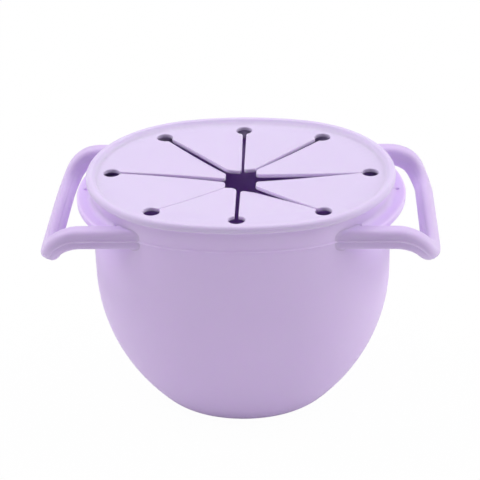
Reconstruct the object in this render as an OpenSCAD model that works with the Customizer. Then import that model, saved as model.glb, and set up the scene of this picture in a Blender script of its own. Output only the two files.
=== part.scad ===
// Toddler snack cup: an oval soft cup with two loop handles and a lid of eight flaps.
// Millimetres. X runs from handle to handle, Y from front to back, Z up.
// The origin is the middle of the base, on the surface that the cup stands on.

/* [Cup] */
// Length of the cup at its mouth, from handle side to handle side
cup_length = 97.4; // [92:0.2:104]
// Depth of the cup at its mouth, front to back
cup_depth = 77.8; // [76.6:0.2:80]
// Half of the angle that each round end of the mouth spans, before the flatter sides begin
end_angle = 77; // [70:1:80]
// Height of the cup to its rim
cup_height = 77.9; // [76:0.1:90]
// Thickness of the wall and the floor
wall = 2; // [1.6:0.1:2.4]
// Height at which the side starts to curve in towards the base
side_start = 45; // [36:1:50]
// Length of the flat base
base_length = 53.4; // [46:0.2:60]
// Depth of the flat base
base_depth = 50.8; // [46:0.2:56]
// Radius of the edge between the side and the base
base_edge_r = 6; // [4:0.5:9]
// Chamfer on the two edges of the rim
rim_chamfer = 0.4; // [0.1:0.1:0.6]

/* [Lid] */
// How far the lid's edge stands out past the cup's wall
overhang = 1.3; // [1.1:0.1:2]
// Thickness of the lid's round edge, from its underside to its crown
edge_height = 2.5; // [2.4:0.1:4]
// Width of the crown of the raised bead that runs round the lid
bead_width = 1.7; // [1.5:0.1:2.4]
// Width of the bead's slope, from its crown down to the flat top
bead_slope = 2; // [1.2:0.1:2.6]
// Depth of the flat top below the crown of the bead
top_drop = 1.5; // [1:0.1:1.6]
// Thickness of the flat top and of the flaps
top_thickness = 1.5; // [1.1:0.1:2]
// Thickness of the soft silicone over the cup's rim
crown_thickness = 2; // [1.8:0.1:2.3]
// Thickness of the ring that plugs into the cup's mouth
plug_thickness = 1.6; // [1.2:0.1:1.7]
// Depth of the plug ring below the flat top's underside
plug_depth = 3.4; // [2:0.2:6]
// Clearance between the lid and the cup's rim
seat_gap = 0.1; // [0.08:0.01:0.15]

/* [Flaps] */
// Distance from the lid's edge to the middle of each relief hole
hole_inset = 8.1; // [8:0.1:10]
// Diameter of the relief hole at the outer end of each slit
hole_d = 5.3; // [4:0.1:5.4]
// Width of the slits between the flaps
slit_width = 1.1; // [0.6:0.1:1.6]
// Size of the square opening in the middle, between the tips of opposite flaps
opening_width = 10; // [8:0.5:14]
// Rounding of the corners at each flap's tip
tip_r = 0.9; // [0.3:0.1:1]
// How far the resting flaps hang below the flat top, measured at the middle of the lid
flap_dip = 3.2; // [0:0.2:4]
// Clearance between the lid and the round root of each flap
root_gap = 0.12; // [0.1:0.01:0.2]

/* [Handles] */
// Distance between the middles of a handle's two arms
arm_spacing = 58.2; // [52:0.2:60]
// Depth of the middle of the arms below the cup's rim
arm_drop = 7.3; // [7:0.1:12]
// Width of the arms, across the loop
arm_width = 6.3; // [5:0.1:7]
// Thickness of the arms, from top to bottom
arm_thickness = 7; // [5:0.1:7.4]
// Width of the bar that the hand holds
bar_width = 5.7; // [5:0.1:7]
// Thickness of the bar
bar_thickness = 5.7; // [5:0.1:7]
// Rounding of the long edges of the arms and the bar
grip_edge_r = 2.3; // [1:0.1:2.4]
// Distance from the cup's middle to the middle of the bar, along the loop as if it lay flat
loop_reach = 64.2; // [62:0.2:72]
// Radius of the loop's outer corners, on their middle line
corner_r = 10; // [5:0.5:14]
// Distance from the cup's middle at which the loop starts to bend down
bend_start = 50.3; // [48:0.1:56]
// Radius of that bend, on the loop's middle line
bend_r = 7.1; // [5:0.1:12]
// Angle by which the outer end of the loop hangs down
droop = 52; // [20:1:60]

/* [Ledges] */
// Width of the ledge at each end of the cup, between the handle's arms
ledge_width = 4.7; // [4:0.1:6]
// Height of the ledge's lip above the middle of the arms
ledge_rise = 1.9; // [1:0.1:3]
// Thickness of the ledge below its lip
ledge_thickness = 2.1; // [1.6:0.1:3]
// Height of the soft lip along the ledge's outer edge
lip_height = 0.5; // [0.3:0.1:1]
// Width of the lip
lip_width = 1.5; // [1:0.1:1.8]
// Diameter of the pin hole through the ledge
pin_hole_d = 1.3; // [1:0.1:1.5]
// Distance from the ledge's outer edge to the middle of the pin hole
pin_hole_inset = 2.8; // [2.5:0.1:3.2]

/* [Hidden] */
$fn = 72;
lilac = [0.80, 0.71, 0.89];
pale_lilac = [0.89, 0.82, 0.96];

// The mouth is an oval of four arcs that meet without a corner: two round ends and two flatter sides.
half_length = cup_length / 2;
half_depth = cup_depth / 2;
end_x = (half_length - half_depth) / (1 + tan(end_angle) - 1 / cos(end_angle));
end_r = half_length - end_x;
side_y = end_x * tan(end_angle);
side_r = half_depth + side_y;

// The side is one big arc, and a small arc rounds it into the base.
base_inset = half_length - base_length / 2;
side_drop = side_start - base_edge_r;
arc_gap = (pow(base_inset - base_edge_r, 2) + pow(side_drop, 2)) / (2 * (base_inset - base_edge_r));
side_arc_r = arc_gap + base_edge_r;
side_slope = asin(side_drop / arc_gap);
side_steps = 8;
edge_steps = 4;

// Levels of the lid, which sits over the rim
groove_roof = cup_height + seat_gap;
crown_z = groove_roof + crown_thickness;
top_z = crown_z - top_drop;
top_under = top_z - top_thickness;
lid_under = crown_z - edge_height;
hinge_z = top_z - top_thickness / 2;
flap_count = 8;
flap_angle = 360 / flap_count;
cut_extra = 1;

// The point of the mouth's oval where its outward normal has this angle, moved out by grow.
function oval_point(angle, grow = 0) =
    let (a = (angle % 360 + 360) % 360,
         s = a <= 180 ? 1 : -1,
         m = a <= 180 ? a : 360 - a)
    m < end_angle ? [end_x + (end_r + grow) * cos(m), s * (end_r + grow) * sin(m)]
    : m > 180 - end_angle ? [-end_x + (end_r + grow) * cos(m), s * (end_r + grow) * sin(m)]
    : [(side_r + grow) * cos(m), s * ((side_r + grow) * sin(m) - side_y)];

// Distance from the middle to the oval along a ray at this angle, moved out by grow.
function oval_reach(angle, grow = 0) =
    let (x = abs(cos(angle)),
         y = abs(sin(angle)),
         joint = oval_point(end_angle, grow))
    atan2(y, x) < atan2(joint[1], joint[0])
        ? end_x * x + sqrt(pow(end_r + grow, 2) - pow(end_x * y, 2))
        : sqrt(pow(side_r + grow, 2) - pow(side_y * x, 2)) - side_y * y;

// A point of the loft between the mouth's oval and the base's outline, set in from the wall's face.
function loft_point(angle, blend, inset) =
    let (base = [base_length / 2 * cos(angle), base_depth / 2 * sin(angle)])
    oval_point(angle) * (1 - blend) + base * blend - inset * [cos(angle), sin(angle)];

// The cup's profile: each entry is how far the loft has gone to the base, the height and the slope.
side_profile = [for (i = [0 : side_steps])
    let (a = side_slope * i / side_steps)
    [side_arc_r * (1 - cos(a)) / base_inset, side_start - side_arc_r * sin(a), a]];
edge_profile = [for (i = [1 : edge_steps])
    let (a = side_slope + (90 - side_slope) * i / edge_steps)
    [(side_arc_r - arc_gap * cos(side_slope) - base_edge_r * cos(a)) / base_inset,
     base_edge_r * (1 - sin(a)), a]];
cup_profile = concat(side_profile, edge_profile);
rim_profile = [[0, cup_height - rim_chamfer, 0],
               [0, cup_height, rim_chamfer],
               [0, cup_height, wall - rim_chamfer],
               [0, cup_height - rim_chamfer, wall]];

// Rings of the closed shell: up the outside, over the rim and down the inside.
cup_rings = concat(
    [for (i = [len(cup_profile) - 1 : -1 : 0]) [cup_profile[i][0], cup_profile[i][1], 0]],
    rim_profile,
    [for (p = cup_profile) [p[0], p[1] + wall * sin(p[2]), wall * cos(p[2])]]);

// Joins rings of points into a closed solid. Each ring has the same number of points, which run
// counterclockwise as seen from the next ring. The two ends are closed with fans round the points
// in ends, or the last ring joins the first if ends is empty.
module skin(rings, ends = []) {
    count = len(rings[0]);
    total = len(rings) * count;
    spans = len(ends) == 0 ? len(rings) : len(rings) - 1;
    sides = [for (r = [0 : spans - 1]) for (i = [0 : count - 1])
        let (a = r * count, b = (r + 1) % len(rings) * count, j = (i + 1) % count)
        [a + i, b + i, b + j, a + j]];
    fans = len(ends) == 0 ? [] : [for (i = [0 : count - 1])
        let (j = (i + 1) % count)
        each [[total, i, j], [total + 1, total - count + j, total - count + i]]];
    polyhedron(points = concat([for (ring = rings) each ring], ends),
               faces = concat(sides, fans),
               convexity = 6);
}

module cup() {
    color(lilac)
    skin([for (ring = cup_rings)
              [for (i = [0 : $fn - 1])
                  let (p = loft_point(360 * i / $fn, ring[0], ring[2]))
                  [p[0], p[1], ring[1]]]],
         [[0, 0, 0], [0, 0, wall]]);
}

// An outline of corners, each rounded by an arc of its own radius; a radius of 0 keeps it sharp.
function unit(v) = v / norm(v);
function rounded(corners, radii, steps = 5) = [for (i = [0 : len(corners) - 1])
    let (n = len(corners),
         p = corners[i],
         a = unit(corners[(i + n - 1) % n] - p),
         b = unit(corners[(i + 1) % n] - p),
         half = acos(a * b) / 2,
         r = radii[i])
    each r == 0 ? [p] :
        let (middle = p + unit(a + b) * r / sin(half),
             from = p + a * r / tan(half) - middle,
             to = p + b * r / tan(half) - middle)
        [for (k = [0 : steps])
            let (v = from * (steps - k) + to * k)
            middle + unit(v) * r]];

// Section of the lid's edge: a round lip outside the rim, a bead over it and a plug inside.
// Its x is the distance in from the lid's outermost edge.
groove_out = overhang - seat_gap;
groove_in = overhang + wall + seat_gap;
plug_in = groove_in + plug_thickness;
crown_r = min(edge_height / 2, bead_width * 0.7);
bead_r = top_drop * 0.7;
lip_r = min(groove_out, edge_height / 2) * 0.9;
edge_section = rounded(
    [[groove_out, lid_under], [0, lid_under], [0, crown_z], [bead_width, crown_z],
     [bead_width + bead_slope, top_z], [plug_in, top_z], [plug_in, top_under - plug_depth],
     [groove_in, top_under - plug_depth], [groove_in, groove_roof], [groove_out, groove_roof]],
    [0, lip_r, crown_r, bead_r, bead_r, 0, plug_thickness / 3, plug_thickness / 3, 0, 0],
    3);

module lid_edge() {
    color(pale_lilac)
    skin([for (i = [$fn - 1 : -1 : 0])
              [for (q = edge_section)
                  let (p = oval_point(360 * i / $fn, overhang - q[0]))
                  [p[0], p[1], q[1]]]]);
}

// Middle of the relief hole at the outer end of slit i
function hole_at(i) =
    let (a = flap_angle * i)
    oval_reach(a, overhang - hole_inset) * [cos(a), sin(a)];

module relief_holes() {
    for (i = [1 : flap_count])
        translate([hole_at(i)[0], hole_at(i)[1], top_under - cut_extra])
            cylinder(d = hole_d, h = top_thickness + 2 * cut_extra);
}

// Each flap bends about the straight line between two neighbouring relief holes.
function hinge_from(i) = hole_at(i - 1);
function hinge_to(i) = hole_at(i);
function hinge_along(i) = unit(hinge_to(i) - hinge_from(i));
function hinge_inward(i) = [-hinge_along(i)[1], hinge_along(i)[0]];
root_r = top_thickness / 2;

// Each flap slopes down from its hinge, so that all eight would meet at one point in the middle.
function flap_slope(i) = atan(flap_dip / -(hinge_from(i) * hinge_inward(i)));

// The flat top inside the edge, with an opening for the flaps and their relief holes
module lid_top() {
    color(pale_lilac)
    difference() {
        translate([0, 0, top_under])
            linear_extrude(top_thickness)
            polygon([for (i = [0 : $fn - 1]) oval_point(360 * i / $fn, overhang - plug_in)]);
        translate([0, 0, top_under - cut_extra])
            linear_extrude(top_thickness + 2 * cut_extra)
            intersection_for (i = [1 : flap_count])
                flap_side_of(i, root_r + root_gap);
        relief_holes();
    }
}

// The half plane on the middle's side of hinge i, moved out by shift
module flap_side_of(i, shift) {
    far = cup_length;
    start = hinge_from(i) - shift * hinge_inward(i);
    along = far * hinge_along(i);
    in = far * hinge_inward(i);
    polygon([start - along, start + along, start + along + in, start - along + in]);
}

// Where the side of a flap meets the square opening. turn is the slit's angle, side is 1 or -1 for the
// side that the flap lies on, and axis is the direction that the square's nearest side faces.
function tip_corner(turn, side, axis) =
    let (ray = [cos(turn), sin(turn)],
         off = [-sin(turn), cos(turn)] * side * slit_width / 2)
    off + ray * (opening_width / 2 - off * axis) / (ray * axis);

// Where the side of a flap passes the relief hole, a little outside the root
function root_corner(turn, side, hole) =
    [-sin(turn), cos(turn)] * side * slit_width / 2
    + [cos(turn), sin(turn)] * (norm(hole) + root_r * 2);

// Plan of flap i: two sides along its slits, a blunt tip on the opening and a root at the hinge line
module flap_plan(i) {
    first = flap_angle * (i - 1);
    second = flap_angle * i;
    facing = 90 * round((first + second) / 2 / 90);
    axis = [cos(facing), sin(facing)];
    corners = [tip_corner(first, 1, axis), root_corner(first, 1, hinge_from(i)),
               root_corner(second, -1, hinge_to(i)), tip_corner(second, -1, axis)];
    polygon(rounded(corners, [tip_r, 0, 0, tip_r]));
}

// Section of a flap across its hinge: a sloping plate with a round root that turns on the hinge line
module flap_section(slope) {
    reach = max(cup_length, cup_depth) / 2;
    rotate(-slope) {
        translate([0, -root_r]) square([reach, top_thickness]);
        circle(r = root_r);
    }
}

module flap(i) {
    start = hinge_from(i);
    span = norm(hinge_to(i) - start);
    turn = atan2(hinge_along(i)[1], hinge_along(i)[0]);
    color(pale_lilac)
    difference() {
        intersection() {
            translate([0, 0, top_under - flap_dip - cut_extra])
                linear_extrude(top_thickness + flap_dip + 2 * cut_extra) flap_plan(i);
            translate([start[0], start[1], hinge_z])
                rotate([90, 0, turn + 90])
                translate([0, 0, -cut_extra])
                linear_extrude(span + 2 * cut_extra) flap_section(flap_slope(i));
        }
        relief_holes();
    }
}

// Section of an arm or of the bar: a rectangle with round edges
function grip_section(width, thickness) =
    let (w = width / 2, t = thickness / 2)
    rounded([[-w, -t], [w, -t], [w, t], [-w, t]], [for (i = [1 : 4]) grip_edge_r], 4);

arm_y = arm_spacing / 2;
arm_height = cup_height - arm_drop;
bend_length = bend_r * droop * PI / 180;
arm_steps = 6;
corner_steps = 9;

// Where the wall of the cup's round end stands at this y
function wall_x(y) = end_x + sqrt(pow(end_r, 2) - pow(y, 2));

// The loop is shaped flat and then bent down over a round edge across its arms. This gives the x and
// the height above the arms' middle for a point of the flat loop at reach x and height lift.
function draped(x, lift) =
    let (angle = min(max(x - bend_start, 0) / bend_length, 1) * droop,
         beyond = max(x - bend_start - bend_length, 0))
    [min(x, bend_start) + bend_r * sin(angle) + beyond * cos(angle) + lift * sin(angle),
     lift * cos(angle) - bend_r * (1 - cos(angle)) - beyond * sin(angle)];

// One ring of the loop. x is where it lies along the straight arm, turn how far it has turned round
// the corner into the bar, and side is -1 in front and 1 behind.
function grip_ring(x, turn, side) =
    let (width = arm_width + (bar_width - arm_width) * sin(turn),
         thickness = arm_thickness + (bar_thickness - arm_thickness) * sin(turn),
         y = side * (arm_y - corner_r * (1 - cos(turn))))
    [for (q = grip_section(width, thickness))
        let (at = draped(x + (corner_r + q[0]) * sin(turn), q[1]))
        [at[0], y + side * q[0] * cos(turn), arm_height + at[1]]];

// The ring at an arm's root, whose points lie on the cup's wall
function root_ring(side) = [for (q = grip_section(arm_width, arm_thickness))
    let (y = side * (arm_y + q[0]))
    [wall_x(y), y, arm_height + q[1]]];

function half_loop(side) =
    let (arm_base = wall_x(arm_y - arm_width / 2),
         arm_end = loop_reach - corner_r)
    concat(
        [root_ring(side)],
        [for (i = [1 : arm_steps])
            grip_ring(arm_base + (arm_end - arm_base) * i / arm_steps, 0, side)],
        [for (i = [1 : corner_steps]) grip_ring(arm_end, 90 * i / corner_steps, side)]);

// The right handle: two arms from the wall and the bar across their outer ends
module handle() {
    front = half_loop(-1);
    color(lilac)
    skin(concat(half_loop(1), [for (i = [len(front) - 1 : -1 : 0]) front[i]]),
         [for (side = [1, -1]) [wall_x(arm_y), side * arm_y, arm_height]]);
}

// The ledge is a thin shelf between the arms, and its level follows theirs.
ledge_top = arm_height + ledge_rise;
ledge_angle = asin(arm_y / (end_r + ledge_width));
module ledge_section() {
    flat = ledge_top - lip_height;
    under = flat - ledge_thickness;
    out = end_r + ledge_width;
    corners = [[end_r, under], [out, under], [out, ledge_top], [out - lip_width, ledge_top],
               [out - lip_width - lip_height, flat], [end_r, flat]];
    round_r = lip_width * 0.45;
    polygon(rounded(corners, [0, round_r, round_r, round_r, 0, 0], 3));
}

// The right ledge, cut to meet the arms' inner faces
module ledge() {
    hole_x = end_r + ledge_width - pin_hole_inset;
    color(lilac)
    difference() {
        translate([end_x, 0, 0]) {
            difference() {
                rotate([0, 0, -ledge_angle])
                    rotate_extrude(angle = 2 * ledge_angle) ledge_section();
                translate([hole_x, 0, 0]) cylinder(d = pin_hole_d, h = ledge_top + cut_extra);
            }
        }
        for (s = [-1, 1]) {
            translate([0, s * arm_y, arm_height])
                rotate([90, 0, 90])
                linear_extrude(bend_start)
                polygon(grip_section(arm_width, arm_thickness));
            translate([0, s * (arm_y + arm_width) - arm_width, 0])
                cube([cup_length, 2 * arm_width, ledge_top + cut_extra]);
        }
    }
}

cup();
rotate([0, 0, 180]) handle();  // left_handle
handle();  // right_handle
rotate([0, 0, 180]) ledge();  // left_ledge
ledge();  // right_ledge
lid_edge();
lid_top();
flap(1);  // flap_1
flap(2);  // flap_2
flap(3);  // flap_3
flap(4);  // flap_4
flap(5);  // flap_5
flap(6);  // flap_6
flap(7);  // flap_7
flap(8);  // flap_8
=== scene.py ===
"""Looks of an oval silicone snack cup with two loop handles and a lid of eight bending flaps."""

import math
from collections import namedtuple

import bmesh
import bpy
from mathutils import Matrix, Vector


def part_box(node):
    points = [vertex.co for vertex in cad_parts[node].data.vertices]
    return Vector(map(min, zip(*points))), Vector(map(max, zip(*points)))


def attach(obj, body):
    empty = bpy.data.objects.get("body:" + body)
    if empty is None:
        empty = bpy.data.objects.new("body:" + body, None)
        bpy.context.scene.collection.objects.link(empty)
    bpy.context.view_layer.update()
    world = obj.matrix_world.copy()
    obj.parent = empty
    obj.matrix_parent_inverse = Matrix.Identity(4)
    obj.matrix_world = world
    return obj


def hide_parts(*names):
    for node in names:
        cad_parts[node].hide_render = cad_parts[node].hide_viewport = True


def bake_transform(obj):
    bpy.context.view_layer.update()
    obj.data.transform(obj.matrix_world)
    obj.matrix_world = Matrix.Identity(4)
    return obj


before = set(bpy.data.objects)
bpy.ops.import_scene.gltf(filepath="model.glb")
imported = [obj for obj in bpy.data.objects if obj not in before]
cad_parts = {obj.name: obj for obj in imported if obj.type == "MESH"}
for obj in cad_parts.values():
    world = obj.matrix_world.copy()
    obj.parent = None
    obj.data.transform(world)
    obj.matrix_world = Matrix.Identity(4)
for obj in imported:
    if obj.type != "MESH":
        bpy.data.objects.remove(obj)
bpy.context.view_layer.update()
mm = 0.001

# ---------------------------------------------------------------- sizes, in metres
cup_length = 97.4 * mm
cup_depth = 77.8 * mm
end_angle = math.radians(77)
cup_height = 77.9 * mm
wall = 2.0 * mm
side_start = 45 * mm
base_length = 53.4 * mm
base_depth = 50.8 * mm
base_edge_r = 6 * mm

overhang = 1.3 * mm
edge_height = 2.5 * mm
bead_width = 2.0 * mm
bead_slope = 1.5 * mm
top_drop = 1.5 * mm
top_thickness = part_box("lid_top")[1][2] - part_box("lid_top")[0][2]
crown_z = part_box("lid_edge")[1][2]
plug_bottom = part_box("lid_edge")[0][2]
top_z = crown_z - top_drop
plug_thickness = 1.6 * mm
seat_gap = 0.1 * mm

hole_inset = 8.1 * mm
hole_r = 2.65 * mm
opening_width = 10 * mm
flap_count = 8
flap_numbers = range(1, flap_count + 1)

arm_y = 29.2 * mm
arm_height = cup_height - 7.3 * mm
arm_width = 5.5 * mm
arm_thickness = 6.6 * mm
arm_edge_r = 1.7 * mm
bar_width = 6.4 * mm
bar_edge_r = 2.1 * mm
bend_start = 49.35 * mm
bend_r = 10.2 * mm

# a handle's reach when laid flat, how far it droops, its bar's thickness, and the radii of its corners
# on the side of -Y and of +Y, as seen with the handle on the right
Loop = namedtuple("Loop", "reach droop bar_thickness corner_r")
right_loop = Loop(65.5 * mm, math.radians(60.5), 5.2 * mm, {-1: 14 * mm, 1: 10 * mm})
left_loop = Loop(65.4 * mm, math.radians(63), 5.6 * mm, {-1: 13 * mm, 1: 14 * mm})

ledge_width = 4.7 * mm
ledge_rise = 2.1 * mm
ledge_thickness = 2.3 * mm
lip_height = 0.25 * mm
lip_width = 2.3 * mm
pin_hole_r = 0.75 * mm
pin_hole_inset = 2.8 * mm

# the mouth's oval: two round ends and two flatter sides that meet without a corner
end_x = (cup_length - cup_depth) / 2 / (1 + math.tan(end_angle) - 1 / math.cos(end_angle))
end_r = cup_length / 2 - end_x
side_y = end_x * math.tan(end_angle)
side_r = cup_depth / 2 + side_y


def oval_point(angle, grow=0.0):
    """The point of the oval whose outward normal has this angle, moved out by grow."""
    a = angle % (2 * math.pi)
    sign = 1 if a <= math.pi else -1
    m = a if a <= math.pi else 2 * math.pi - a
    if m < end_angle:
        return Vector((end_x + (end_r + grow) * math.cos(m), sign * (end_r + grow) * math.sin(m)))
    if m > math.pi - end_angle:
        return Vector((-end_x + (end_r + grow) * math.cos(m), sign * (end_r + grow) * math.sin(m)))
    return Vector(((side_r + grow) * math.cos(m), sign * ((side_r + grow) * math.sin(m) - side_y)))


def oval_reach(angle, grow=0.0):
    """Distance from the middle to the oval along a ray at this angle."""
    x, y = abs(math.cos(angle)), abs(math.sin(angle))
    joint = oval_point(end_angle, grow)
    if math.atan2(y, x) < math.atan2(joint.y, joint.x):
        return end_x * x + math.sqrt((end_r + grow) ** 2 - (end_x * y) ** 2)
    return math.sqrt((side_r + grow) ** 2 - (side_y * x) ** 2) - side_y * y


def direction(angle):
    """The unit vector in plan at this angle."""
    return Vector((math.cos(angle), math.sin(angle)))


# ---------------------------------------------------------------- camera
view_elevation = math.radians(28.96)
view_turn = math.radians(-2.94)
view_roll = math.radians(-1.48)
view_distance = 536 * mm
view_target = Vector((-0.73 * mm, 0, 53.54 * mm))
picture_px = 480
focal_px = 1620.0
sensor_width_mm = 36
clip_near = 50 * mm
clip_far = 20


def add_camera():
    """The camera that was fitted to the photograph's outlines."""
    back = Vector((0, -math.cos(view_elevation), math.sin(view_elevation)))
    right = Vector((1, 0, 0))
    up = back.cross(right)
    place = view_target + back * view_distance
    rolled_right = right * math.cos(view_roll) + up * math.sin(view_roll)
    rolled_up = up * math.cos(view_roll) - right * math.sin(view_roll)
    turn = Matrix.Rotation(-view_turn, 4, "Z")
    data = bpy.data.cameras.new("camera")
    data.sensor_width = sensor_width_mm
    data.lens = focal_px * sensor_width_mm / picture_px
    data.clip_start = clip_near
    data.clip_end = clip_far
    camera = bpy.data.objects.new("camera", data)
    axes = Matrix((rolled_right, rolled_up, back)).transposed().to_4x4()
    camera.matrix_world = turn @ Matrix.Translation(place) @ axes
    bpy.context.collection.objects.link(camera)
    bpy.context.scene.camera = camera


# ---------------------------------------------------------------- materials
dye_scale = 45
dye_detail = 3
dye_change = 0.015
grain_scale = 2600
grain_detail = 2
grain_strength = 0.35
grain_depth = 0.04 * mm
roughness = (0.50, 0.60)
soak_depth = 2 * mm
soak_spread = (1.0, 0.7, 1.0)
shine = 0.35
sheen = 0.08
sheen_roughness = 0.5


def add_noise(material, scale, detail):
    """Adds noise that stays fixed to the object, and gives back its output."""
    nodes, links = material.node_tree.nodes, material.node_tree.links
    place = nodes.new("ShaderNodeTexCoord")
    noise = nodes.new("ShaderNodeTexNoise")
    noise.inputs["Scale"].default_value = scale
    noise.inputs["Detail"].default_value = detail
    links.new(place.outputs["Object"], noise.inputs["Vector"])
    return noise.outputs["Fac"]


def silicone(name, colour, glow=0.4, seams=False):
    """Soft matte silicone: a faintly uneven dye, a fine moulded grain and light that soaks in.
    With seams, light soaks in less towards a seam, as marked by mark_seams."""
    material = bpy.data.materials.new(name)
    material.use_nodes = True
    nodes, links = material.node_tree.nodes, material.node_tree.links
    shader = nodes["Principled BSDF"]

    tone = nodes.new("ShaderNodeMix")
    tone.data_type = "RGBA"
    tone.inputs["A"].default_value = (*[c * (1 - dye_change) for c in colour], 1)
    tone.inputs["B"].default_value = (*[min(1, c * (1 + dye_change)) for c in colour], 1)
    links.new(add_noise(material, dye_scale, dye_detail), tone.inputs["Factor"])
    links.new(tone.outputs["Result"], shader.inputs["Base Color"])

    grain = add_noise(material, grain_scale, grain_detail)
    bump = nodes.new("ShaderNodeBump")
    bump.inputs["Strength"].default_value = grain_strength
    bump.inputs["Distance"].default_value = grain_depth
    links.new(grain, bump.inputs["Height"])
    links.new(bump.outputs["Normal"], shader.inputs["Normal"])
    rough = nodes.new("ShaderNodeMapRange")
    rough.inputs["To Min"].default_value, rough.inputs["To Max"].default_value = roughness
    links.new(grain, rough.inputs["Value"])
    links.new(rough.outputs["Result"], shader.inputs["Roughness"])

    shader.inputs["Subsurface Weight"].default_value = glow
    if seams:
        mark = nodes.new("ShaderNodeAttribute")
        mark.attribute_name = "off_seam"
        soak = nodes.new("ShaderNodeMath")
        soak.operation = "MULTIPLY"
        soak.inputs[1].default_value = glow
        links.new(mark.outputs["Fac"], soak.inputs[0])
        links.new(soak.outputs["Value"], shader.inputs["Subsurface Weight"])
    shader.inputs["Subsurface Radius"].default_value = soak_spread
    shader.inputs["Subsurface Scale"].default_value = soak_depth
    shader.inputs["Specular IOR Level"].default_value = shine
    shader.inputs["Sheen Weight"].default_value = sheen
    shader.inputs["Sheen Roughness"].default_value = sheen_roughness
    return material


def srgb(r, g, b):
    """A colour read as 0 to 255 values, as the linear values that shaders use."""
    def linear(c):
        c /= 255
        return c / 12.92 if c <= 0.04045 else ((c + 0.055) / 1.055) ** 2.4

    return linear(r), linear(g), linear(b)


cup_material = silicone("cup_silicone", srgb(225, 202, 249))
# the handles are the same silicone as the cup, given a darker colour: painted shade for the light that
# shines through the thin wall but not through the thick handles
shaded_handle_material = silicone("handle_silicone_painted_shade", srgb(211, 189, 233))
lid_material = silicone("lid_silicone", srgb(215, 200, 235), glow=0.5, seams=True)


# ---------------------------------------------------------------- mesh helpers
weld = 0.0001 * mm
sharp_angle = math.radians(50)


def mesh_object(name, points, faces, material, smooth=True):
    """A mesh with its doubled points welded, its faces turned outwards and its sharp edges marked."""
    mesh = bpy.data.meshes.new(name)
    mesh.from_pydata([tuple(p) for p in points], [], faces)
    mesh.validate()
    work = bmesh.new()
    work.from_mesh(mesh)
    bmesh.ops.remove_doubles(work, verts=work.verts, dist=weld)
    bmesh.ops.recalc_face_normals(work, faces=work.faces)
    work.to_mesh(mesh)
    work.free()
    for face in mesh.polygons:
        face.use_smooth = smooth
    mesh.set_sharp_from_angle(angle=sharp_angle)
    mesh.materials.append(material)
    piece = bpy.data.objects.new(name, mesh)
    bpy.context.collection.objects.link(piece)
    return piece


def apply_modifiers(piece):
    """Puts the modified mesh in place of the piece's own."""
    depsgraph = bpy.context.evaluated_depsgraph_get()
    done = bpy.data.meshes.new_from_object(piece.evaluated_get(depsgraph))
    old = piece.data
    piece.modifiers.clear()
    piece.data = done
    bpy.data.meshes.remove(old)


def weigh_normals(piece):
    """Keeps large flat faces flat beside rounded ones."""
    modifier = piece.modifiers.new("normals", "WEIGHTED_NORMAL")
    modifier.keep_sharp = True
    apply_modifiers(piece)


def grid(rows, columns, first=0, closed=False):
    """Faces between rows of points listed one after another; closed rows join end to start."""
    faces = []
    for r in range(rows - 1):
        a = first + r * columns
        b = a + columns
        for i in range(columns if closed else columns - 1):
            j = (i + 1) % columns
            faces.append((a + i, b + i, b + j, a + j))
    return faces


def skin(name, rings, material, ends=()):
    """Joins rings of points into one surface, closed with fans round the points in ends."""
    count = len(rings[0])
    points = [p for ring in rings for p in ring]
    faces = grid(len(rings), count, closed=True)
    for first, end in zip((0, (len(rings) - 1) * count), ends):
        points.append(end)
        for i in range(count):
            faces.append((len(points) - 1, first + i, first + (i + 1) % count))
    return mesh_object(name, points, faces, material)


def arc(middle, radius, start, stop, steps):
    """Points of an arc in a plane, from start to stop degrees, both ends included."""
    angles = [math.radians(start + (stop - start) * k / steps) for k in range(steps + 1)]
    return [Vector(middle) + radius * direction(a) for a in angles]


def rounded(corners, radii, steps):
    """An outline of corners, each rounded by an arc of its own radius; 0 keeps it sharp."""
    out = []
    n = len(corners)
    for i, (corner, r) in enumerate(zip(corners, radii)):
        p = Vector(corner)
        if r == 0:
            out.append(p)
            continue
        a = (Vector(corners[i - 1]) - p).normalized()
        b = (Vector(corners[(i + 1) % n]) - p).normalized()
        half = a.angle(b) / 2
        middle = p + (a + b).normalized() * r / math.sin(half)
        start = p + a * r / math.tan(half) - middle
        stop = p + b * r / math.tan(half) - middle
        for k in range(steps + 1):
            v = start * (steps - k) + stop * k
            out.append(middle + v.normalized() * r)
    return out


def eased(share):
    """A share from 0 to 1 that leaves 0 and reaches 1 softly."""
    return share * share * (3 - 2 * share)


# ---------------------------------------------------------------- cup
# how far the parting ridge stands out from the wall, an arm's outer face and an arm's inner face; and
# its section from below, as heights in ridge_step and shares of that, with the longer slope on top
cup_ridge = 0.38 * mm
arm_ridge = 0.45 * mm
inner_ridge = 0.08 * mm
ridge_step = 0.22 * mm
ridge_shape = ((-2.2, 0), (-0.4, 0.1), (0, 1), (1.8, 0.1), (2.8, 0))

around = 288
side_steps = 32
base_steps = 10
rim_steps = 5
rim_r = 0.5 * mm
wall_heights = (52 * mm, 58 * mm, 64 * mm, 68 * mm)
neck_heights = (72.5 * mm, 75 * mm)
hollow_heights = (70 * mm, 60 * mm, 52 * mm)


def cup_profile():
    """The side from the straight wall to the base: rows of how far the loft has gone from the oval to
    the base's outline, the height, and the angle below level that the surface faces."""
    inset = cup_length / 2 - base_length / 2
    drop = side_start - base_edge_r
    # between the middle of the side's large arc and the middle of the arc at the base's edge
    gap = ((inset - base_edge_r) ** 2 + drop ** 2) / (2 * (inset - base_edge_r))
    radius = gap + base_edge_r
    slope = math.asin(drop / gap)
    out = []
    for i in range(side_steps + 1):
        a = slope * i / side_steps
        out.append((radius * (1 - math.cos(a)) / inset, side_start - radius * math.sin(a), a))
    for i in range(1, base_steps + 1):
        a = slope + (math.pi / 2 - slope) * i / base_steps
        out.append(((radius - gap * math.cos(slope) - base_edge_r * math.cos(a)) / inset,
                    base_edge_r * (1 - math.sin(a)), a))
    return out


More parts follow.
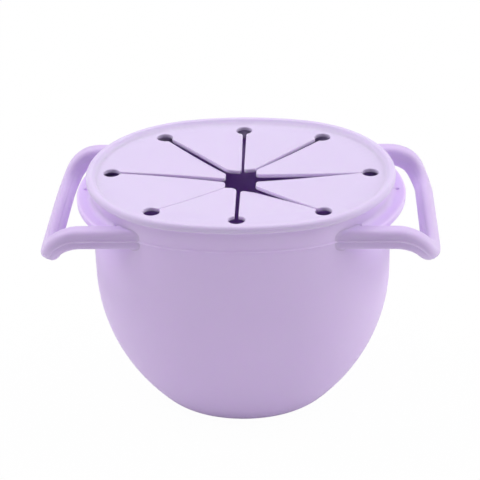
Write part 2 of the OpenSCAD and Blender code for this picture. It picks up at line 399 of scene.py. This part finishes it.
def loft_ring(blend, z, inset=0.0):
    """A ring round the cup, between the mouth's oval and the base's outline, moved in by inset."""
    ring = []
    for i in range(around):
        a = 2 * math.pi * i / around
        base = Vector((base_length / 2 * math.cos(a), base_depth / 2 * math.sin(a)))
        p = oval_point(a) * (1 - blend) + base * blend - inset * direction(a)
        ring.append(Vector((p.x, p.y, z)))
    return ring


def add_cup():
    """The cup's wall and floor in one skin: up the outside, over the rim and down the inside."""
    profile = cup_profile()
    rings = [loft_ring(k, z) for k, z, a in reversed(profile)]
    rings += [loft_ring(0, z) for z in wall_heights]
    for step, proud in ridge_shape:
        rings.append(loft_ring(0, arm_height + step * ridge_step, -proud * cup_ridge))
    rings += [loft_ring(0, z) for z in neck_heights]
    for x, z in arc((rim_r, cup_height - rim_r), rim_r, 180, 90, rim_steps):
        rings.append(loft_ring(0, z, x))
    for x, z in arc((wall - rim_r, cup_height - rim_r), rim_r, 90, 0, rim_steps):
        rings.append(loft_ring(0, z, x))
    rings += [loft_ring(0, z, wall) for z in hollow_heights]
    rings += [loft_ring(k, z + wall * math.sin(a), wall * math.cos(a)) for k, z, a in profile]
    piece = skin("cup_shell", rings, cup_material, ends=(Vector((0, 0, 0)), Vector((0, 0, wall))))
    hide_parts("cup")
    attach(piece, "cup")


# ---------------------------------------------------------------- handles
root_fillet = 0.5 * mm
root_sink = 0.3 * mm
fillet_steps = 7
arm_steps = 10
corner_steps = 28
grip_steps = 8
# how much lower the parting ridge is in the middle of the bar than on an arm
ridge_fade = 0.8


def grip_outline(width, thickness, edge_r, ridge):
    """Section of the grip: round edges and a fine parting ridge on both side faces."""
    w, t = width / 2, thickness / 2
    corners = rounded([(-w, -t), (w, -t), (w, t), (-w, t)], [edge_r] * 4, grip_steps)
    outer = [Vector((w + proud * ridge, step * ridge_step)) for step, proud in ridge_shape]
    inner = [Vector((-w - proud * inner_ridge, step * ridge_step))
             for step, proud in reversed(ridge_shape)]
    half = len(corners) // 2
    return corners[:half] + outer + corners[half:] + inner


def wall_x(y):
    """Where the wall of the cup's round end stands at this y."""
    return end_x + math.sqrt(end_r ** 2 - y ** 2)


def draped(x, lift, droop):
    """Where a point of the flat loop comes to, once the loop is bent down over a round edge."""
    bend_length = bend_r * droop
    angle = min(max(x - bend_start, 0) / bend_length, 1) * droop
    beyond = max(x - bend_start - bend_length, 0)
    out = min(x, bend_start) + (bend_r + lift) * math.sin(angle) + beyond * math.cos(angle)
    return out, (bend_r + lift) * math.cos(angle) - bend_r - beyond * math.sin(angle)


def grip_ring(loop, side, x, turn):
    """A ring round the grip; turn is 0 along an arm and a right angle where the bar is straight."""
    bar = math.sin(turn)
    corner_r = loop.corner_r[side]
    width = arm_width + (bar_width - arm_width) * bar
    thickness = arm_thickness + (loop.bar_thickness - arm_thickness) * bar
    edge_r = arm_edge_r + (bar_edge_r - arm_edge_r) * bar
    y = side * (arm_y - corner_r * (1 - math.cos(turn)))
    ring = []
    for q in grip_outline(width, thickness, edge_r, arm_ridge * (1 - ridge_fade * bar)):
        out, lift = draped(x + (corner_r + q.x) * bar, q.y, loop.droop)
        ring.append(Vector((out, y + side * q.x * math.cos(turn), arm_height + lift)))
    return ring


def wall_ring(side, off, spread):
    """A ring of the arm's section, widened by spread, that follows the wall at this distance."""
    ring = []
    for q in grip_outline(arm_width, arm_thickness, arm_edge_r, arm_ridge):
        p = q + q.normalized() * spread
        y = side * (arm_y + p.x)
        lean = math.sqrt(1 - (y / end_r) ** 2)
        ring.append(Vector((wall_x(y) + off / lean, y, arm_height + p.y)))
    return ring


def root_ring(side, turn):
    """A ring of the fillet where an arm meets the wall, from turn 0 on the wall to a right angle on
    the arm."""
    return wall_ring(side, root_fillet * (1 - math.cos(turn)), root_fillet * (1 - math.sin(turn)))


def half_loop(loop, side):
    """The rings of one arm, from inside the wall, and of its corner, up to the straight bar."""
    quarter = math.pi / 2
    arm_end = loop.reach - loop.corner_r[side]
    arm_base = wall_x(arm_y - arm_width / 2) + root_fillet
    rings = [wall_ring(side, -root_sink, root_fillet)]
    rings += [root_ring(side, quarter * k / fillet_steps) for k in range(fillet_steps + 1)]
    for k in range(1, arm_steps + 1):
        rings.append(grip_ring(loop, side, arm_base + (arm_end - arm_base) * k / arm_steps, 0))
    for k in range(1, corner_steps + 1):
        rings.append(grip_ring(loop, side, arm_end, quarter * k / corner_steps))
    return rings


def add_handle(name, sign, loop):
    """A handle: on the right with sign 1, turned half round to the left with sign -1."""
    rings = half_loop(loop, -1) + list(reversed(half_loop(loop, 1)))
    rings = [[Vector((sign * p.x, sign * p.y, p.z)) for p in ring] for ring in rings]
    piece = skin(name + "_grip", rings, shaded_handle_material)
    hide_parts(name)
    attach(piece, "cup")


# ---------------------------------------------------------------- ledges
ledge_sink = 0.3 * mm
ledge_edge_r = 0.85 * mm
lip_r = 0.7 * mm
low_fillet = 1.0 * mm
high_fillet = 1.6 * mm
fillet_arc_steps = 6
ledge_arc_steps = 8
fall_steps = 10
ledge_steps = 72
pin_sides = 24
pin_reach = 5 * mm


def ledge_outline():
    """Section of a ledge, outwards from the wall: fillets to the wall, round edge and soft lip."""
    top = arm_height + ledge_rise
    flat = top - lip_height
    under = flat - ledge_thickness
    out = [Vector((-ledge_sink, under - low_fillet))]
    out += arc((low_fillet, under - low_fillet), low_fillet, 180, 90, fillet_arc_steps)
    edge_middle = (ledge_width - ledge_edge_r, under + ledge_edge_r)
    out += arc(edge_middle, ledge_edge_r, -90, 0, ledge_arc_steps)
    out += arc((ledge_width - lip_r, top - lip_r), lip_r, 0, 90, ledge_arc_steps)
    for k in range(1, fall_steps):
        t = k / fall_steps
        out.append(Vector((ledge_width - lip_r - lip_width * t, top - lip_height * eased(t))))
    out += arc((high_fillet, flat + high_fillet), high_fillet, 270, 180, ledge_arc_steps)
    out.append(Vector((-ledge_sink, flat + high_fillet)))
    return out


def add_ledge(name, sign):
    """A ledge from arm to arm: on the right with sign 1, turned half round to the left with -1."""
    outline = ledge_outline()
    n = len(outline)
    reach = math.asin(arm_y / (end_r + ledge_width))
    points = []
    for k in range(ledge_steps + 1):
        a = reach * (2 * k / ledge_steps - 1)
        for q in outline:
            p = Vector((end_x, 0)) + (end_r + q.x) * direction(a)
            points.append(Vector((sign * p.x, sign * p.y, q.y)))
    faces = grid(ledge_steps + 1, n, closed=True)
    faces += [tuple(range(n)), tuple(range(ledge_steps * n, ledge_steps * n + n))]
    piece = mesh_object(name + "_shelf", points, faces, cup_material)
    pin_x = end_x + end_r + ledge_width - pin_hole_inset
    drill(piece, Vector((sign * pin_x, 0, arm_height)))
    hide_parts(name)
    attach(piece, "cup")


def drill(piece, place):
    """Cuts the ledge's pin hole through it."""
    ends = [place + Vector((0, 0, z)) for z in (-pin_reach, pin_reach)]
    turn = [pin_hole_r * direction(2 * math.pi * k / pin_sides).to_3d() for k in range(pin_sides)]
    pin = skin("pin", [[end + p for p in turn] for end in ends], cup_material, ends=ends)
    modifier = piece.modifiers.new("pin_hole", "BOOLEAN")
    modifier.operation = "DIFFERENCE"
    modifier.solver = "EXACT"
    modifier.object = pin
    apply_modifiers(piece)
    pin_mesh = pin.data
    bpy.data.objects.remove(pin)
    bpy.data.meshes.remove(pin_mesh)


# ---------------------------------------------------------------- lid
# the seam between the lid and a flap lies this far outside the flap's hinge line
seam_out = 1.5 * mm
# this far from a seam, light soaks in as much as anywhere else
seam_fade = 5 * mm
seam_steps = 12
hole_steps = 18
edge_round = 0.35 * mm
edge_steps = 4
outline_steps = 8


def slit_angle(index):
    """The angle of the slit that runs to the relief hole of this number."""
    return 2 * math.pi * index / flap_count


def hole_at(index):
    """The middle, in plan, of a relief hole: the one after the flap of its number."""
    a = slit_angle(index)
    return oval_reach(a, overhang - hole_inset) * direction(a)


def hinge(i):
    """Start, end, direction along and direction inward of the line that flap i bends about."""
    start, stop = hole_at(i - 1), hole_at(i)
    along = (stop - start).normalized()
    return start, stop, along, Vector((-along.y, along.x))


def lid_edge_outline():
    """Section of the lid from the flat top, over the bead, round the lip, into the groove and plug."""
    groove_out = overhang - seat_gap
    groove_in = overhang + wall + seat_gap
    plug_in = groove_in + plug_thickness
    under = crown_z - edge_height
    roof = cup_height + seat_gap
    plug_r = plug_thickness / 3
    under_r = groove_out * 0.5
    outer_r = bead_width * 0.6
    inner_r = top_drop * 0.7
    foot_r = inner_r * 1.9
    corners = [(plug_in, top_z - top_thickness), (plug_in, plug_bottom), (groove_in, plug_bottom),
               (groove_in, roof), (groove_out, roof), (groove_out, under), (0, under),
               (0, crown_z), (bead_width, crown_z), (bead_width + bead_slope, top_z)]
    radii = [0, plug_r, plug_r, 0, 0, 0, under_r, outer_r, inner_r, foot_r]
    return rounded(corners, radii, outline_steps)


def add_lid():
    """The lid without its flaps: the edge's section all round, and the flat top with its holes."""
    points = []
    outline = lid_edge_outline()
    for q in outline:
        for k in range(around):
            p = oval_point(2 * math.pi * k / around, overhang - q.x)
            points.append(Vector((p.x, p.y, q.y)))
    faces = grid(len(outline), around, closed=True)
    opening = [p for i in flap_numbers for p in lid_opening(i)]
    for z, row in ((top_z, len(outline) - 1), (top_z - top_thickness, 0)):
        first = len(points)
        points += [Vector((p.x, p.y, z)) for p in opening]
        outer = list(range(row * around, (row + 1) * around))
        faces += between(outer, list(range(first, len(points))), points)
    rim = rim_outline()
    for i in flap_numbers:
        faces += grid(len(rim), hole_steps + 1, len(points))
        for off, z in rim:
            points += [Vector((p.x, p.y, z)) for p in hole_rim(i, off)]
    piece = mesh_object("lid_cap", points, faces, lid_material)
    weigh_normals(piece)
    mark_seams(piece)
    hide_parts("lid_edge", "lid_top")
    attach(piece, "lid")


def seam_ends(i, off=0.0):
    """The points of the seam of flap i at this distance off the rims of its two relief holes."""
    start, stop, along, inward = hinge(i)
    chord = math.sqrt((hole_r + off) ** 2 - seam_out ** 2)
    return start + along * chord - inward * seam_out, stop - along * chord - inward * seam_out


def rim_outline():
    """Section of a relief hole's rounded rim, from underneath: distance off the rim and height."""
    under = top_z - top_thickness
    return (arc((edge_round, under + edge_round), edge_round, 270, 180, edge_steps)
            + arc((edge_round, top_z - edge_round), edge_round, 180, 90, edge_steps))


def hole_rim(i, off):
    """Points round relief hole i, this far off its rim, from the seam of flap i to the next flap's."""
    hole = hole_at(i)
    v = seam_ends(i, off)[1] - hole
    w = seam_ends(i % flap_count + 1, off)[0] - hole
    turn_from, turn_to = math.atan2(v.y, v.x), math.atan2(w.y, w.x)
    turn_to += 2 * math.pi * (turn_to < turn_from)
    return [hole + (hole_r + off) * direction(turn_from + (turn_to - turn_from) * k / hole_steps)
            for k in range(hole_steps + 1)]


def lid_opening(i):
    """The edge of the lid's flat top along the seam of flap i and round the relief hole after it."""
    begin, finish = seam_ends(i)
    seam = [begin.lerp(finish, k / seam_steps) for k in range(1, seam_steps)]
    return seam + hole_rim(i, edge_round)


def between(outer, inner, points):
    """Triangles that fill the band between two closed loops, both counterclockwise."""
    def angle(k):
        return math.atan2(points[k].y, points[k].x) % (2 * math.pi)

    def from_east(loop):
        first = loop.index(min(loop, key=angle))
        return loop[first:] + loop[:first]

    outer, inner = from_east(outer), from_east(inner)
    faces = []
    i = j = 0
    while i < len(outer) or j < len(inner):
        next_outer = angle(outer[i]) if i < len(outer) else math.inf
        next_inner = angle(inner[j]) if j < len(inner) else math.inf
        a = outer[(i - 1) % len(outer)]
        b = inner[(j - 1) % len(inner)]
        if next_outer <= next_inner:
            faces.append((a, outer[i], b))
            i += 1
        else:
            faces.append((b, a, inner[j]))
            j += 1
    return faces


def mark_seams(piece):
    """Marks each point with 0 on a seam, growing to 1 where it is seam_fade away."""
    marks = piece.data.attributes.new("off_seam", "FLOAT", "POINT")
    for v in piece.data.vertices:
        turns = math.atan2(v.co.y, v.co.x) % (2 * math.pi) / (2 * math.pi)
        start, _, _, inward = hinge(int(turns * flap_count) % flap_count + 1)
        off = abs((v.co.to_2d() - start).dot(inward) + seam_out)
        marks.data[v.index].value = eased(min(off / seam_fade, 1))


# ---------------------------------------------------------------- flaps
# the edge of a flap along a slit, all in mm but early: the half slit's width at the tip and at the
# relief hole, how far the flap hangs at the tip, how early it drops, and its corner's radius at the tip
Edge = namedtuple("Edge", "tip_gap hole_gap drop early corner_r")
# each flap's edges: the one at the relief hole before it and the one at the hole after it
flap_edges = (
    (Edge(0.51, 0.0, 0.78, 0.8, 1.3), Edge(0.12, 0.9, 1.37, 0.8, 0.4)),
    (Edge(0.34, 0.8, 1.13, -0.42, 0.4), Edge(0.92, 0.83, 1.6, 0.0, 1.0)),
    (Edge(-0.1, 0.39, 2.05, 0.0, 1.5), Edge(0.33, 1.0, 1.51, -0.45, 3.0)),
    (Edge(0.26, 0.58, 2.87, 0.55, 0.5), Edge(0.3, 0.74, 2.16, -0.41, 1.2)),
    (Edge(0.31, 0.06, 3.29, -0.3, 1.3), Edge(0.15, 0.15, 2.98, 0.4, 0.4)),
    (Edge(0.12, 0.2, 2.98, 0.4, 0.4), Edge(1.19, 0.74, 3.18, 0.0, 2.0)),
    (Edge(0.07, 0.46, 3.81, 0.0, 1.8), Edge(0.31, 0.26, 5.0, -0.06, 2.5)),
    (Edge(0.33, 0.15, 2.51, 0.36, 0.4), Edge(0.31, 0.02, 3.17, 0.21, 1.3)))
bend_soft = 1.5 * mm
tip_steps = 6
slit_steps = 14
# above 1, the points along a slit stand closer together at the relief hole
slit_crowding = 1.5
hole_round = 0.7 * mm
round_steps = 6


def bezier(a, b, c, steps):
    """Points of a curve from a to c that leaves and arrives along the lines through b."""
    shares = [k / steps for k in range(steps + 1)]
    return [a * (1 - t) ** 2 + b * 2 * t * (1 - t) + c * t * t for t in shares]


def slit_edge(i, after):
    """An edge of flap i, the one at the hole before it or after it: its corner at the square opening's
    side, and where it meets the relief hole."""
    edge = flap_edges[i - 1][after]
    ray = direction(slit_angle(i - 1 + after))
    across = Vector((-ray.y, ray.x)) * (1 - 2 * after)
    # the side of the opening that the tip ends at: two flaps share each side
    facing = direction(math.pi / 2 * round((i - 0.5) / 2))
    tip_gap, hole_gap = edge.tip_gap * mm, edge.hole_gap * mm
    tip_reach = (opening_width / 2 - tip_gap * across.dot(facing)) / ray.dot(facing)
    hole_reach = hole_at(i - 1 + after).length - math.sqrt(hole_r ** 2 - hole_gap ** 2)
    return ray * tip_reach + across * tip_gap, ray * hole_reach + across * hole_gap


def hole_side(hole, seam_end, root, tip):
    """From the seam round the relief hole and, with a soft corner, along the slit."""
    v, w = seam_end - hole, root - hole
    turn_from, turn_to = math.atan2(v.y, v.x), math.atan2(w.y, w.x)
    sweep = (turn_to - turn_from + math.pi) % (2 * math.pi) - math.pi
    sweep *= 1 - hole_round / (hole_r * abs(sweep))
    turns = [turn_from + sweep * k / hole_steps for k in range(hole_steps + 1)]
    out = [hole + hole_r * direction(turn) for turn in turns]
    corner_end = root + (tip - root).normalized() * hole_round
    return out[:-1] + bezier(out[-1], root, corner_end, round_steps)


def flap_sides(i):
    """Both sides of flap i from its seam to the middle of its tip, the side at hole i first."""
    begin, finish = seam_ends(i)
    tip_b, root_b = slit_edge(i, 1)
    tip_a, root_a = slit_edge(i, 0)
    side_b = hole_side(hole_at(i), finish, root_b, tip_b)
    side_a = hole_side(hole_at(i - 1), begin, root_a, tip_a)
    edge_a, edge_b = flap_edges[i - 1]
    radii = [0, edge_b.corner_r * mm, edge_a.corner_r * mm, 0]
    tips = rounded([side_b[-1], tip_b, tip_a, side_a[-1]], radii, tip_steps)[1:-1]
    corners = (tips[:tip_steps + 1], list(reversed(tips[tip_steps + 1:])))
    for side, corner in zip((side_b, side_a), corners):
        root = side[-1]
        shares = [(k / slit_steps) ** slit_crowding for k in range(1, slit_steps)]
        side += [root.lerp(corner[0], share) for share in shares] + corner
    return side_b, side_a


def inset(side, after, off, hand, seam_end):
    """A side of a flap moved into the flap by off: its seam's end, then its other points. The point
    after the side's last gives the direction there. The flap lies to the left with hand 1."""
    out = [seam_end]
    for p, q, r in zip(side, side[1:], side[2:] + [after]):
        t = (r - p).normalized()
        out.append(q + Vector((-t.y, t.x)) * hand * off)
    return out


def hang(i, p):
    """How far flap i hangs below the flat top at a point of its plan."""
    start, _, _, inward = hinge(i)
    turn = (math.atan2(p.y, p.x) - slit_angle(i - 1) + math.pi) % (2 * math.pi) - math.pi
    share = min(max(turn / slit_angle(1), 0), 1)
    u = max((p - start).dot(inward), 0)
    drops = []
    for after, edge in enumerate(flap_edges[i - 1]):
        reach = (opening_width / 2 * direction(slit_angle(i - 1 + after)) - start).dot(inward)
        v = (math.hypot(u, bend_soft) - bend_soft) / (math.hypot(reach, bend_soft) - bend_soft)
        drops.append(edge.drop * mm * ((1 + edge.early) * v - edge.early * v * v))
    return drops[0] * (1 - share) + drops[1] * share


def add_flap(i):
    """A flap as one sheet of rows, from its rounded rim to its two faces, open at the seam."""
    side_b, side_a = flap_sides(i)
    points, faces = [], []

    def insets(off):
        begin, finish = seam_ends(i, off)
        return inset(side_b, side_a[-1], off, 1, finish), inset(side_a, side_b[-1], off, -1, begin)

    def add_rows(rows):
        faces.extend(grid(len(rows), len(rows[0]), len(points)))
        points.extend(p for row in rows for p in row)

    def placed(line, z):
        return [Vector((p.x, p.y, z - hang(i, p))) for p in line]

    rows = []
    for off, z in rim_outline():
        b, a = insets(off)
        tip = [b[-1].lerp(a[-1], k / seam_steps) for k in range(1, seam_steps)]
        rows.append(placed(b + tip + list(reversed(a)), z))
    add_rows(rows)
    b, a = insets(edge_round)
    lines = [[p.lerp(q, k / seam_steps) for k in range(seam_steps + 1)] for p, q in zip(b, a)]
    for z in (top_z, top_z - top_thickness):
        add_rows([placed(line, z) for line in lines])
    piece = mesh_object("flap_%d_soft" % i, points, faces, lid_material)
    weigh_normals(piece)
    mark_seams(piece)
    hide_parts("flap_%d" % i)
    start, _, _, inward = hinge(i)
    a, b = start - inward * seam_out, start + inward * seam_out
    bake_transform(piece)


# ---------------------------------------------------------------- stage and light
white = (1, 1, 1, 1)
floor_half = 3.0
floor_colour = (0.86, 0.85, 0.87, 1)
# the share of plain white that the camera sees on the floor; the rest shows the object's shadow
floor_white = 0.975
room_colour = (1.0, 0.99, 1.0, 1)
room_strength = 0.3

lamp_aim = Vector((0, 0, 50 * mm))
plain_tint = (1, 1, 1)
side_tint = (0.94, 1, 0.88)
# each lamp's name, place, size, power in watts and tint
lamps = (
    ("front_high", (0, -0.4, 1.1), (0.4, 0.3), 1.9, plain_tint),
    ("back_high", (0, 0.5, 1.1), (0.9, 0.5), 2.7, plain_tint),
    ("left_side", (-1.1, 0.1, 0.5), (0.9, 0.7), 2.5, side_tint),
    ("right_side", (1.1, 0.1, 0.5), (0.9, 0.7), 5.3, side_tint),
    ("left_high", (-0.9, 0.3, 1.0), (0.8, 0.8), 6.7, plain_tint),
    ("right_high", (0.9, 0.3, 1.0), (0.8, 0.8), 4.2, plain_tint))


def floor_material():
    """A pale floor that the camera sees as white, apart from the object's own faint shadow."""
    material = bpy.data.materials.new("floor_white")
    material.use_nodes = True
    nodes, links = material.node_tree.nodes, material.node_tree.links
    nodes.clear()
    out = nodes.new("ShaderNodeOutputMaterial")
    path = nodes.new("ShaderNodeLightPath")
    lit = nodes.new("ShaderNodeBsdfDiffuse")
    lit.inputs["Color"].default_value = floor_colour
    plain = nodes.new("ShaderNodeEmission")
    plain.inputs["Color"].default_value = white
    plain.inputs["Strength"].default_value = 1
    share = nodes.new("ShaderNodeMath")
    share.operation = "MULTIPLY"
    share.inputs[1].default_value = floor_white
    seen = nodes.new("ShaderNodeMixShader")
    links.new(path.outputs["Is Camera Ray"], share.inputs[0])
    links.new(share.outputs["Value"], seen.inputs["Fac"])
    links.new(lit.outputs["BSDF"], seen.inputs[1])
    links.new(plain.outputs["Emission"], seen.inputs[2])
    links.new(seen.outputs["Shader"], out.inputs["Surface"])
    return material


def add_floor():
    """The level floor that the cup stands on."""
    corners = [(x * floor_half, y * floor_half, 0) for x, y in ((-1, -1), (1, -1), (1, 1), (-1, 1))]
    floor = mesh_object("floor", corners, [(0, 1, 2, 3)], floor_material(), smooth=False)


def add_world():
    """Soft light from all round, in front of which the camera sees plain white."""
    world = bpy.data.worlds.new("studio")
    world.use_nodes = True
    nodes, links = world.node_tree.nodes, world.node_tree.links
    nodes.clear()
    out = nodes.new("ShaderNodeOutputWorld")
    path = nodes.new("ShaderNodeLightPath")
    soft = nodes.new("ShaderNodeBackground")
    soft.inputs["Color"].default_value = room_colour
    soft.inputs["Strength"].default_value = room_strength
    plain = nodes.new("ShaderNodeBackground")
    plain.inputs["Color"].default_value = white
    plain.inputs["Strength"].default_value = 1
    seen = nodes.new("ShaderNodeMixShader")
    links.new(path.outputs["Is Camera Ray"], seen.inputs["Fac"])
    links.new(soft.outputs["Background"], seen.inputs[1])
    links.new(plain.outputs["Background"], seen.inputs[2])
    links.new(seen.outputs["Shader"], out.inputs["Surface"])
    bpy.context.scene.world = world


def add_lamp(name, place, size, watts, tint):
    """A soft box that shines on the object."""
    data = bpy.data.lights.new(name, "AREA")
    data.shape = "RECTANGLE"
    data.size, data.size_y = size
    data.energy = watts
    data.color = tint
    lamp = bpy.data.objects.new(name, data)
    lamp.location = place
    lamp.rotation_euler = (lamp_aim - Vector(place)).to_track_quat("-Z", "Y").to_euler()
    bpy.context.collection.objects.link(lamp)


# ---------------------------------------------------------------- build
add_camera()
add_cup()
add_handle("right_handle", 1, right_loop)
add_handle("left_handle", -1, left_loop)
add_ledge("right_ledge", 1)
add_ledge("left_ledge", -1)
add_lid()
for number in flap_numbers:
    add_flap(number)
add_floor()
add_world()
for lamp in lamps:
    add_lamp(*lamp)
bpy.context.scene.view_settings.view_transform = "Standard"
